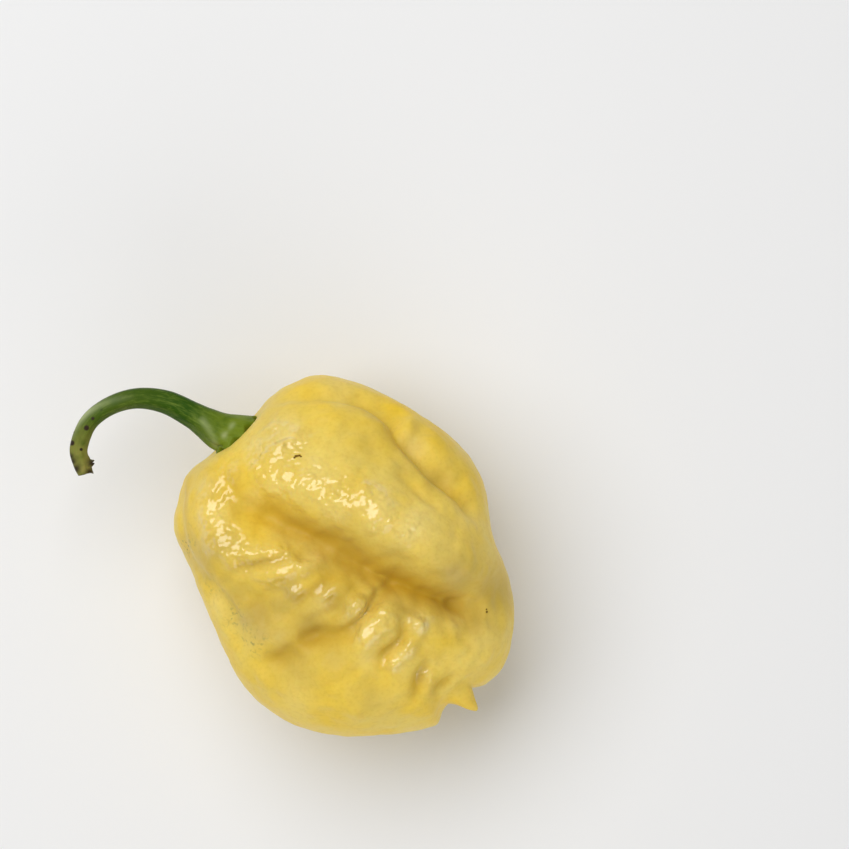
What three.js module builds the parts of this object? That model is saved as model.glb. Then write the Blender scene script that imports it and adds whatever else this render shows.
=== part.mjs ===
// A fresh yellow chilli pepper lying on its side: a plump, lobed and crumpled pod with a short hooked
// tail, and the curved green stalk whose flared calyx caps the pod.
// Millimetres, +Z up. The origin is on the surface that the pepper lies on, under the middle of its box.
// +X runs from the stalk's side to the tail's side, and +Y to the side where the stalk leaves the pod.
import * as THREE from 'three';
import { mergeVertices } from 'three/addons/utils/BufferGeometryUtils.js';

// Driving dimensions
const POD_CENTRE = new THREE.Vector3(7, -0.5, 17.2);
const HEIGHT_ABOVE = 17.4;
const DEPTH_BELOW = 18.2;
const FULLNESS = 2.3;
const FLAT_BLEND = 0.5;
const STALK_GAP = 0.3;

// The pod's outline seen from above: [direction in degrees, distance from the pod's centre]
const OUTLINE = [
  [-63, 26.6], [-60, 26.7], [-57, 25.6], [-53, 25.1], [-46, 25.5], [-41, 26.7], [-34, 27.1],
  [-19, 25.4], [-8, 23.7], [0, 22.1], [7, 21.2], [17, 21.5], [30, 22.4], [50, 22.6], [62, 22.5],
  [74, 23.5], [89, 25.1], [98, 25.9], [111, 25.3], [123, 24.2], [132, 23.9], [142, 24.1],
  [152, 24.8], [161, 24.6], [170, 24.0], [178, 22.5], [189, 20.8], [205, 20.2], [220, 21.1],
  [232, 22.5], [246, 23.7], [262, 24.4], [278, 24.9], [290, 25.9],
];
const OUTLINE_REACH = 0.4;
const OUTLINE_EASE = 24;

// Folds seen from above. Each point is [x, y, height of the fold, half width]; a groove is negative.
const FOLDS_ABOVE = [
  // The big roll from the calyx to the right-hand side
  [[-4.5, 16, 0.3, 4], [-0.5, 12.5, 1.2, 4.5], [4, 9.3, 2, 4.8], [8.6, 6.8, 2.5, 5], [12.8, 4.6, 2.8, 5],
    [17.6, 1.8, 2.8, 5], [22, -1.2, 2.5, 4.6], [26, -3.6, 1.4, 3.6], [28.5, -7, 0.2, 3]],
  // The hollow below the calyx and the broad valley under the roll
  [[-8, 13, 0, 2], [-8.4, 10.2, -0.7, 2], [-7.4, 8.2, -1.6, 2.4], [-4.4, 6.5, -3, 3], [0.4, 4.4, -3.9, 3.4],
    [5, 1.9, -4.4, 3.5], [9.6, -0.4, -4.5, 3.4], [14, -2.5, -4.5, 3.3], [18, -4.2, -4.2, 3.2],
    [21.8, -5.6, -3.7, 3], [25.2, -6.8, -2.5, 2.6], [28, -7.4, 0, 2.2]],
  // Its narrow bottom, deepest at the right end
  [[-6, 7.2, 0, 1.6], [-3.4, 6.2, -0.3, 1.6], [1, 4, -0.3, 1.6], [5.6, 1.6, -0.4, 1.6],
    [10.6, -1.4, -0.6, 1.5], [15.2, -3.6, -0.8, 1.4], [19, -5.4, -0.8, 1.4], [22, -6.4, -0.9, 1.6],
    [23.8, -7, -0.8, 1.6], [25.6, -7.8, 0, 1.2]],
  // The shallow dip below its right end
  [[20.5, -9.4, 0, 2.2], [24, -9.2, -0.8, 2.6], [27, -8.4, -1, 2.6], [30, -7.6, 0, 2.2]],
  // A faint crease on the roll
  [[14.6, 11.4, 0, 0.7], [15.8, 10.5, -0.35, 0.7], [17.9, 8.4, -0.4, 0.7], [19.3, 7.3, -0.25, 0.7],
    [20.6, 6.4, 0, 0.7]],
  // The dip that runs on from the valley's end to the right-hand edge
  [[23, -5.8, 0, 3], [26.5, -5.2, -1.1, 3.2], [29, -4.8, -1.2, 3.2], [32, -4.4, 0, 3]],
  // The sharp crease between the roll and the rear lobe
  [[-4, 21.6, 0, 0.9], [0.6, 22.2, -0.5, 1], [4, 22.6, -0.9, 1], [7.6, 22.5, -1.3, 1],
    [10.3, 21.9, -1.7, 1], [12.8, 20.4, -1.9, 1], [14.3, 18.8, -1.9, 1], [15.2, 16.9, -1.9, 1],
    [16.6, 15.2, -1.8, 1], [18.1, 13.5, -1.8, 1], [19.9, 11.5, -1.8, 1], [22.2, 9.6, -1.7, 1],
    [23.8, 8, -1.5, 1], [25.4, 5.9, -0.9, 0.9], [26.8, 4, 0, 0.9]],
  // The rear lobe's swelling, and the hollow beside the crease towards its right end
  [[9, 24, 0, 1.6], [13, 22.4, 0.3, 1.8], [17, 19, 0.7, 2], [20.4, 15.4, 0.8, 2], [23.6, 12, 0.6, 2],
    [26.4, 8.4, 0, 1.8]],
  [[20.4, 13, 0, 1.1], [21.8, 11.4, -0.5, 1.2], [23.4, 10, -0.3, 1.2], [24.8, 8.4, 0, 1.1]],
  // Pale bumps of the rear lobe
  [[14.6, 18.6, 0, 1.1], [15.8, 17.6, 0.9, 1.2], [17, 16.6, 0, 1.1]],
  [[17.2, 16, 0, 1.2], [18.6, 15.1, 0.9, 1.4], [20.6, 14, 0.5, 1.5], [22.4, 13, 0, 1.3]],
  [[23, 10.4, 0, 1.2], [24.2, 9, 0.6, 1.3], [25.4, 7.6, 0, 1.2]],
  // The little ridge at the roll's upper left
  [[-3.2, 14.4, 0, 0.8], [-1.6, 14.9, 0.45, 0.9], [0.2, 15.6, 0.5, 0.9], [1.8, 16.2, 0, 0.8]],
  // The left shoulder
  [[-7.4, 14.2, 0, 3], [-10, 11, 1, 3], [-11, 6, 1.3, 3.2], [-9.8, 1, 0.8, 3], [-7.6, -2, 0, 2.6]],
  // The crease that sets off the smooth strip along the left flank
  [[-15, 11, 0, 0.9], [-15.6, 8.2, -0.5, 0.9], [-15.6, 5, -0.6, 0.9], [-15.2, 1.3, -0.9, 1],
    [-13.9, -1.2, -1, 1.1], [-11.9, -3.2, -1, 1.1], [-10.4, -5.2, -1, 1.1], [-8.9, -7.3, -1, 1.1],
    [-8.1, -9.3, -1, 1.2], [-7.1, -11.5, -0.8, 1.3], [-5.4, -13.2, 0, 1.4]],
  // The basin of ribs, and the groove along its lower side
  [[-11, -1, 0, 4], [-5, -5, -1.2, 4.6], [1, -8, -1.9, 4.8], [6, -8.4, -1.5, 4], [9.6, -7.6, 0, 3]],
  [[-6, -13.4, 0, 1.8], [-3.4, -14.2, -0.7, 2.2], [-0.4, -13.8, -1.1, 2.6], [2.6, -12.4, -1.1, 2.6],
    [5.2, -11.8, -1, 2], [7.2, -10.8, -1.1, 1.4], [9, -9.2, -1.2, 1], [10.8, -7.2, -1.4, 0.9],
    [12.4, -5.2, -1.3, 0.9], [15, -3.7, 0, 0.9]],
  [[-4.4, -14.6, 0, 1.2], [-2.2, -14.6, -0.6, 1.4], [-0.4, -14, -0.6, 1.5], [1.2, -12.8, 0, 1.3]],
  [[0.6, -12, 0, 1.4], [2.4, -11.6, -0.9, 1.7], [4.6, -11.2, -1, 1.8], [7.2, -11, 0, 1.4]],
  // Ribs that fan out of the valley, from the left, each with the groove below it
  [[-8.5, -0.2, 0, 1], [-5, 0.2, 0.6, 1.2], [-1.3, 0.9, 1.1, 1.3], [1.1, 1.8, 0.6, 1.2], [3, 2.6, 0, 1]],
  [[-10, -2, 0, 1], [-7, -1.2, -0.4, 1.1], [-4.2, -0.5, -0.8, 1.1], [-1.4, 0.3, -0.8, 1.1],
    [1.4, 1, -0.3, 1], [3, 1.4, 0, 0.9]],
  [[-7.4, -3.2, 0, 1.4], [-4.2, -2.9, 0.9, 1.8], [-0.8, -2.3, 1.2, 1.9], [1.8, -1.2, 1.3, 1.9],
    [4.2, -0.2, 1.2, 1.9], [6.6, 0, 0.6, 1.8], [8.8, -0.4, 0, 1.6]],
  [[-5, -4.8, 0, 1.2], [-1.2, -4.2, -0.3, 1.2], [1.8, -2.9, -0.4, 1.2], [3.8, -1.9, -0.3, 1.1],
    [5.4, -1, 0, 1]],
  [[-2.6, -6.9, 0, 1.2], [-1, -5.9, 0.5, 1.3], [0.8, -4.8, 0.9, 1.4], [2.3, -3.7, 0.8, 1.4],
    [4.6, -2.4, 0, 1.2]],
  [[0, -7.6, 0, 1.1], [0.9, -6.6, -0.2, 1.1], [2.8, -4.9, -0.3, 1.1], [5.1, -3.2, -0.3, 1.1],
    [6.8, -1.9, 0, 1]],
  [[1.6, -8.4, 0, 1.1], [2.7, -7.2, 0.5, 1.3], [4, -5.9, 0.8, 1.4], [6.2, -4.1, 0.8, 1.4],
    [8.4, -2.6, 0, 1.2]],
  [[5.2, -9, 0, 1.1], [6, -7.8, -0.2, 1.1], [7.4, -5.9, -0.3, 1.1], [9, -4.2, -0.3, 1.1], [10.4, -3, 0, 1]],
  [[7, -9.4, 0, 0.9], [7.9, -8.2, 0.5, 1], [9, -6.6, 0.7, 1.1], [10.3, -5.2, 0.5, 1.1], [11.8, -3.9, 0, 1]],
  // The big fold beyond the groove, and the smaller one beside it
  [[8, -14, 0, 1.7], [9.9, -11.8, 1, 2], [12.9, -8.5, 1.5, 2.2], [14.2, -7, 1.3, 2], [15.8, -5.9, 0, 1.6]],
  [[15.7, -8.4, 0, 0.8], [15.6, -10, -0.9, 0.8], [15.3, -11.2, -0.9, 0.8], [14.2, -12.2, -0.9, 0.8],
    [13, -13.2, -0.8, 0.8], [12.7, -14.8, -0.4, 0.8], [12.7, -16, 0, 0.7]],
  [[18.2, -7.4, 0, 1.2], [17.9, -8.8, 0.8, 1.3], [16.9, -11, 0.5, 1.3], [15.9, -12.8, 0.7, 1.2],
    [14.2, -14.4, 0.7, 1], [13.7, -15.8, 0.5, 1], [13.4, -17, 0, 1]],
  // Small arcs above the tail, one with a bump beside it
  [[19.2, -13.8, 0, 0.8], [18.8, -14.7, -0.8, 0.8], [17.9, -16.3, -1.1, 0.8], [17.4, -18.1, -0.9, 0.9],
    [17, -19.9, 0, 0.9]],
  [[20, -15.2, 0, 1], [19.4, -16.4, 0.5, 1.1], [19, -18, 0.4, 1.1], [18.6, -19.4, 0, 1]],
  [[23, -16.2, 0, 0.8], [22, -16.9, -0.6, 0.8], [20.9, -17.8, -0.9, 0.8], [20.2, -19, -0.5, 0.8],
    [19.8, -20, 0, 0.8]],
  // The lower lobe
  [[-2, -19, 0, 4], [4, -18.6, 0.8, 5], [10, -19, 0.9, 5], [16, -20, 0, 3]],
];

// Folds of the underside, also seen from above
const FOLDS_BELOW = [
  [[-4, 16, 0, 2.4], [5, 12.6, -1.4, 2.6], [13.6, 6.4, -2, 3], [20.6, -2.4, -1.8, 3], [23.4, -12, 0, 2.4]],
  [[-9, 11.4, 0, 2.2], [-7.4, 3.6, -1.4, 2.6], [-2.4, -5.4, -2, 3], [6, -14, -1.6, 2.8],
    [16.4, -18.4, 0, 2.4]],
  [[18, 13, 0, 1.4], [19.4, 7, -0.7, 1.4], [24, 3, 0, 1.2]],
  [[-10, -5, 0, 1.4], [-8, -11, -0.8, 1.6], [-1, -17, 0, 1.4]],
  [[-6, -4, 0, 1.2], [-10, -1.6, -0.5, 1.3], [-14, -2, 0, 1.2]],
  [[6, 16, 0, 1.4], [10, 17.6, -0.6, 1.4], [14, 19, 0, 1.4]],
];

// The hollow that the calyx sits in
const CALYX_HOLLOW = { depth: 2.1, radius: 5.2 };

// The tail: a small hollow round its root, and the skin drawn out of it, more steeply towards the tip
const TAIL_HOLLOW = { depth: 0.5, radius: 3.4 };
const TAIL_ROOT_RADIUS = 3.1;
const TAIL_TAPER = 1.5;
const TAIL_REACH = new THREE.Vector3(3, -1.5, 0.4);
const TAIL_HOOK = new THREE.Vector3(0.1, -1, -0.2);

// The calyx on the pod's shoulder: the rim's radius, the height over which it narrows, its distance from the
// pod's centre, the waves of its rim, and the rings of its underside and rim as [share of the radius, lift
// off the skin]
const CALYX = { radius: 3.2, height: 4.6, distance: 22.6, waves: 8, waveTurn: 1.77, waviness: 0.07 };
const CALYX_FOOT = [[0.45, STALK_GAP], [0.85, STALK_GAP], [1, 0.45], [1.04, 0.7], [0.99, 0.95]];

// The stalk's centre line from the calyx to the torn end: [x, y, z, radius]
const STALK = [
  [-9.9, 17.4, 19.6, 2.75],
  [-12.1, 18.6, 19.4, 2.2],
  [-13.9, 19.65, 19.4, 1.87],
  [-17.6, 21.45, 19.8, 1.65],
  [-21.6, 21.95, 20.5, 1.43],
  [-25.3, 20.9, 20.9, 1.3],
  [-28.3, 18.6, 20.8, 1.26],
  [-29.75, 15.2, 20.1, 1.26],
  [-29.5, 13.0, 19.4, 1.16],
  [-29.0, 11.55, 18.9, 1.02],
];
const STALK_RIB = 0.035;
const TORN_END = new THREE.Vector3(0.05, 0.15, 0);

const DEGREES = Math.PI / 180;

// The direction at an angle from +X, seen from above, and at a rise above the level
function towards(degrees, rise = 0) {
  const [turn, up] = [degrees * DEGREES, rise * DEGREES];
  return new THREE.Vector3(Math.cos(turn) * Math.cos(up), Math.sin(turn) * Math.cos(up), Math.sin(up));
}

const TO_TAIL = towards(-49.6, 12);
const TO_CALYX = towards(130.5, 6);

const smooth = (low, high, value) => THREE.MathUtils.smoothstep(value, low, high);

// A smooth curve through points of any number of coordinates, sampled several times between each two
function throughPoints(points, steps) {
  const last = points.length - 1;
  const out = [];
  for (let i = 0; i < last; i++) {
    const [b, c] = [points[i], points[i + 1]];
    const [a, d] = [points[Math.max(i - 1, 0)], points[Math.min(i + 2, last)]];
    for (let k = 0; k < steps; k++) {
      const t = k / steps;
      out.push(b.map((_, n) => 0.5 * (
        2 * b[n] + (c[n] - a[n]) * t
        + (2 * a[n] - 5 * b[n] + 4 * c[n] - d[n]) * t ** 2
        + (3 * b[n] - a[n] - 3 * c[n] + d[n]) * t ** 3
      )));
    }
  }
  out.push([...points[last]]);
  return out;
}

// The outline's distance in one direction: a cubic between its points, with the slope at each taken
// from its two neighbours.
function outlineRadius(degrees) {
  const first = OUTLINE[0][0];
  const turn = first + ((((degrees - first) % 360) + 360) % 360);
  const at = (i) => {
    const lap = Math.floor(i / OUTLINE.length);
    const [angle, radius] = OUTLINE[i - lap * OUTLINE.length];
    return [angle + 360 * lap, radius];
  };
  let i = 0;
  while (at(i + 1)[0] <= turn) i++;
  const [a, b, c, d] = [at(i - 1), at(i), at(i + 1), at(i + 2)];
  const span = c[0] - b[0];
  const t = (turn - b[0]) / span;
  const slopeB = ((c[1] - a[1]) / (c[0] - a[0])) * span;
  const slopeC = ((d[1] - b[1]) / (d[0] - b[0])) * span;
  return b[1] * (2 * t ** 3 - 3 * t ** 2 + 1) + slopeB * (t ** 3 - 2 * t ** 2 + t)
    + c[1] * (3 * t ** 2 - 2 * t ** 3) + slopeC * (t ** 3 - t ** 2);
}

// The outline with its corners evened out, for the parts of the skin that face up or down.
function evenRadius(degrees) {
  const offsets = [-1, -0.5, 0, 0.5, 1];
  return offsets.reduce((sum, o) => sum + outlineRadius(degrees + o * OUTLINE_EASE), 0) / offsets.length;
}

// Sum of the folds at a place seen from above: each is a bell across its curve.
function foldHeight(folds, x, y) {
  let sum = 0;
  for (const curve of folds) {
    let best = Infinity;
    let height = 0;
    let width = 1;
    for (let i = 0; i < curve.length - 1; i++) {
      const [p, q] = [curve[i], curve[i + 1]];
      const [dx, dy] = [q[0] - p[0], q[1] - p[1]];
      const t = THREE.MathUtils.clamp(((x - p[0]) * dx + (y - p[1]) * dy) / (dx * dx + dy * dy), 0, 1);
      const distance = Math.hypot(x - p[0] - dx * t, y - p[1] - dy * t);
      if (distance < best) {
        best = distance;
        height = p[2] + (q[2] - p[2]) * t;
        width = p[3] + (q[3] - p[3]) * t;
      }
    }
    sum += height * Math.exp(-((best / width) ** 2));
  }
  return sum;
}

const FOLD_STEPS = 5;
const curvesAbove = FOLDS_ABOVE.map((fold) => throughPoints(fold, FOLD_STEPS));
const curvesBelow = FOLDS_BELOW.map((fold) => throughPoints(fold, FOLD_STEPS));

// A height kept above the surface: level with it where it would lie under it, with a short round lead-in
function aboveFlat(z) {
  if (z >= FLAT_BLEND) return z;
  return z > -FLAT_BLEND ? (z + FLAT_BLEND) ** 2 / (4 * FLAT_BLEND) : 0;
}

// Where the folds of the top and of the underside fade out, as heights of a direction from the centre
const ABOVE_FADE = [-0.15, 0.25];
const BELOW_FADE = [-0.05, 0.35];

// The point of the pod's skin in a direction from its centre: a plump pillow inside the outline, then the
// folds along its normal, the two hollows, the tail drawn out of its end, and the flat it lies on
function skinPoint(direction) {
  const { x, y, z } = direction;
  const turn = Math.atan2(y, x) / DEGREES;
  const level = Math.hypot(x, y);
  const nearRim = Math.exp(-((z / OUTLINE_REACH) ** 2));
  const wide = THREE.MathUtils.lerp(evenRadius(turn), outlineRadius(turn), nearRim);
  const tall = z > 0 ? HEIGHT_ABOVE : DEPTH_BELOW;
  const radius = ((level / wide) ** FULLNESS + (Math.abs(z) / tall) ** FULLNESS) ** (-1 / FULLNESS);
  const point = direction.clone().multiplyScalar(radius);

  const slope = (level * radius) ** (FULLNESS - 1) / wide ** FULLNESS;
  const rise = Math.sign(z) * (Math.abs(z) * radius) ** (FULLNESS - 1) / tall ** FULLNESS;
  const normal = new THREE.Vector3(slope * x / (level || 1), slope * y / (level || 1), rise).normalize();
  const [px, py] = [POD_CENTRE.x + point.x, POD_CENTRE.y + point.y];
  const above = smooth(...ABOVE_FADE, z);
  const below = smooth(...BELOW_FADE, -z);
  const height = (above > 0 ? above * foldHeight(curvesAbove, px, py) : 0)
    + (below > 0 ? below * foldHeight(curvesBelow, px, py) : 0);
  point.addScaledVector(normal, height);

  const fromTail = direction.angleTo(TO_TAIL) * radius;
  const fromCalyx = direction.angleTo(TO_CALYX) * radius;
  point.addScaledVector(TO_CALYX, -CALYX_HOLLOW.depth * Math.exp(-((fromCalyx / CALYX_HOLLOW.radius) ** 2)));
  point.addScaledVector(TO_TAIL, -TAIL_HOLLOW.depth * Math.exp(-((fromTail / TAIL_HOLLOW.radius) ** 2)));
  const pull = (1 - smooth(0, TAIL_ROOT_RADIUS, fromTail)) ** TAIL_TAPER;
  point.addScaledVector(TAIL_REACH, pull).addScaledVector(TAIL_HOOK, pull ** 2);

  point.add(POD_CENTRE);
  point.z = aboveFlat(point.z);
  return point;
}

// The pod: an even ball of triangles, drawn closer together on top and towards the tail, laid on the skin
function podGeometry(detail = 23, crowdTop = 0.3, crowdTail = 0.72, crowdAngle = 24 * DEGREES) {
  const ball = new THREE.IcosahedronGeometry(1, detail);
  ball.deleteAttribute('normal');
  ball.deleteAttribute('uv');
  const geometry = mergeVertices(ball, 1e-4);
  const position = geometry.attributes.position;
  const direction = new THREE.Vector3();
  for (let i = 0; i < position.count; i++) {
    direction.fromBufferAttribute(position, i);
    direction.z += crowdTop;
    direction.normalize();
    const angle = direction.angleTo(TO_TAIL);
    const side = direction.clone().addScaledVector(TO_TAIL, -direction.dot(TO_TAIL)).normalize();
    const drawn = angle * (1 - crowdTail * Math.exp(-((angle / crowdAngle) ** 2)));
    direction.copy(TO_TAIL).multiplyScalar(Math.cos(drawn)).addScaledVector(side, Math.sin(drawn));
    const point = skinPoint(direction);
    position.setXYZ(i, point.x, point.y, point.z);
  }
  geometry.computeVertexNormals();
  return geometry;
}

// A closed surface over rings of equal count, capped by a point at each end
function ringsGeometry(start, rings, end) {
  const sides = rings[0].length;
  const points = [start, ...rings.flat(), end];
  const index = [];
  const at = (ring, side) => 1 + ring * sides + (side % sides);
  for (let side = 0; side < sides; side++) {
    index.push(0, at(0, side + 1), at(0, side));
    for (let ring = 0; ring < rings.length - 1; ring++) {
      index.push(at(ring, side), at(ring, side + 1), at(ring + 1, side));
      index.push(at(ring, side + 1), at(ring + 1, side + 1), at(ring + 1, side));
    }
    index.push(at(rings.length - 1, side), at(rings.length - 1, side + 1), points.length - 1);
  }
  const geometry = new THREE.BufferGeometry();
  geometry.setAttribute('position', new THREE.Float32BufferAttribute(points.flatMap((p) => p.toArray()), 3));
  geometry.setIndex(index);
  geometry.computeVertexNormals();
  return geometry;
}

// The stalk: its foot follows the pod's skin, its flared calyx narrows to the stem, and the stem runs
// along its centre line to the torn end
function stalkGeometry(sides = 28, steps = 4) {
  const across = new THREE.Vector3(-TO_CALYX.y, TO_CALYX.x, 0).normalize();
  const up = new THREE.Vector3().crossVectors(TO_CALYX, across);
  const turns = [...Array(sides).keys()].map((side) => (side / sides) * 2 * Math.PI);
  const footPoint = (radius, turn, lift) => {
    const spread = radius / CALYX.distance;
    const direction = TO_CALYX.clone().multiplyScalar(Math.cos(spread))
      .addScaledVector(across, Math.sin(spread) * Math.cos(turn))
      .addScaledVector(up, Math.sin(spread) * Math.sin(turn));
    return skinPoint(direction).addScaledVector(TO_CALYX, lift);
  };
  const rim = (turn) => (
    CALYX.radius * (1 + CALYX.waviness * Math.cos(CALYX.waves * (turn - CALYX.waveTurn)))
  );
  const footRing = ([share, lift]) => turns.map((turn) => footPoint(rim(turn) * share, turn, lift));
  const rings = CALYX_FOOT.map(footRing);
  const edge = rings[rings.length - 1];
  const foot = edge.reduce((sum, p) => sum.addScaledVector(p, 1 / sides), new THREE.Vector3());

  const line = throughPoints([[foot.x, foot.y, foot.z, CALYX.radius], ...STALK], steps);
  const centre = line.map((p) => new THREE.Vector3(p[0], p[1], p[2]));
  let side1 = across.clone();
  for (let i = 1; i < line.length; i++) {
    const forward = centre[Math.min(i + 1, line.length - 1)].clone().sub(centre[i - 1]).normalize();
    side1 = side1.addScaledVector(forward, -side1.dot(forward)).normalize();
    const side2 = new THREE.Vector3().crossVectors(forward, side1);
    const likeFoot = Math.max(0, 1 - centre[i].distanceTo(foot) / CALYX.height) ** 2;
    rings.push(turns.map((turn, side) => {
      const radius = line[i][3] * (1 + STALK_RIB * Math.cos(5 * turn));
      const round = side1.clone().multiplyScalar(Math.cos(turn)).addScaledVector(side2, Math.sin(turn));
      const flared = edge[side].clone().sub(foot).multiplyScalar(line[i][3] / CALYX.radius);
      return round.multiplyScalar(radius).lerp(flared, likeFoot).add(centre[i]);
    }));
  }
  const end = centre[centre.length - 1].clone().add(TORN_END);
  return ringsGeometry(footPoint(0, 0, STALK_GAP), rings, end);
}

function meshOf(name, geometry, color, roughness) {
  const mesh = new THREE.Mesh(geometry, new THREE.MeshStandardMaterial({ color, roughness, metalness: 0 }));
  mesh.name = name;
  return mesh;
}

const pepper = new THREE.Group();
pepper.add(meshOf('pod', podGeometry(), 0xe0bd58, 0.3));
pepper.add(meshOf('stalk', stalkGeometry(), 0x4c6b1e, 0.45));

export default pepper;
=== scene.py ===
"""The looks of a fresh yellow chilli pepper that lies on its side, seen from above.

The pod and the stalk are surfaces worked out in millimetres, in the part's own frame, from the same
values as the solids, and then given the fine dimples and tints of the real skin.
"""
import math

import bpy
import numpy as np
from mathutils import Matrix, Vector


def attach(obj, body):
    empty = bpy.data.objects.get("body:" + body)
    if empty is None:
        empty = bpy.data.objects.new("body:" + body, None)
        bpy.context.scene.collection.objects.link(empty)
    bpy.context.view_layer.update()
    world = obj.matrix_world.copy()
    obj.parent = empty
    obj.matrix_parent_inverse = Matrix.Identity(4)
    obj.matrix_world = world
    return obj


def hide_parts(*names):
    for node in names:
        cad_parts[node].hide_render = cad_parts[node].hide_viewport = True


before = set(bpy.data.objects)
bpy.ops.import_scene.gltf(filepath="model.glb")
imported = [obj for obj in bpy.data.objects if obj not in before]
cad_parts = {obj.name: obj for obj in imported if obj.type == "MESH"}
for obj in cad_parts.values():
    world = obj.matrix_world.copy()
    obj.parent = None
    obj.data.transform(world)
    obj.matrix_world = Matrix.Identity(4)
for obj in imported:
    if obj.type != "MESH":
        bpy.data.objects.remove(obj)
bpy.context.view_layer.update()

MM = 0.001

# The pod's form: its centre, its reach above and below it, and how full its pillow is (2 is an oval)
POD_CENTRE = np.array([7.0, -0.5, 17.2])
HEIGHT_ABOVE = 17.4
DEPTH_BELOW = 18.2
FULLNESS = 2.3
UP = np.array([0.0, 0.0, 1.0])


def towards(degrees, rise=0.0):
    """The direction at an angle from +X, seen from above, and at a rise above the level."""
    turn, up = math.radians(degrees), math.radians(rise)
    return np.array([math.cos(turn) * math.cos(up), math.sin(turn) * math.cos(up), math.sin(up)])


TO_TAIL = towards(-49.6, 12)
TO_CALYX = towards(130.5, 6)
# Height over which the skin turns into the flat spot it lies on
FLAT_BLEND = 0.5

# The pod's outline seen from above: (direction in degrees, distance from the pod's centre)
OUTLINE = [
    (-63, 26.6), (-60, 26.7), (-57, 25.6), (-53, 25.1), (-46, 25.5), (-41, 26.7), (-34, 27.1),
    (-19, 25.4), (-8, 23.7), (0, 22.1), (7, 21.2), (17, 21.5), (30, 22.4), (50, 22.6), (62, 22.5),
    (74, 23.5), (89, 25.1), (98, 25.9), (111, 25.3), (123, 24.2), (132, 23.9), (142, 24.1),
    (152, 24.8), (161, 24.6), (170, 24.0), (178, 22.5), (189, 20.8), (205, 20.2), (220, 21.1),
    (232, 22.5), (246, 23.7), (262, 24.4), (278, 24.9), (290, 25.9),
]
# Above and below this rise the outline gives way to one that is evened out over these degrees either side
OUTLINE_REACH = 0.4
OUTLINE_EASE, OUTLINE_SAMPLES = 24, 5

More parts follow.
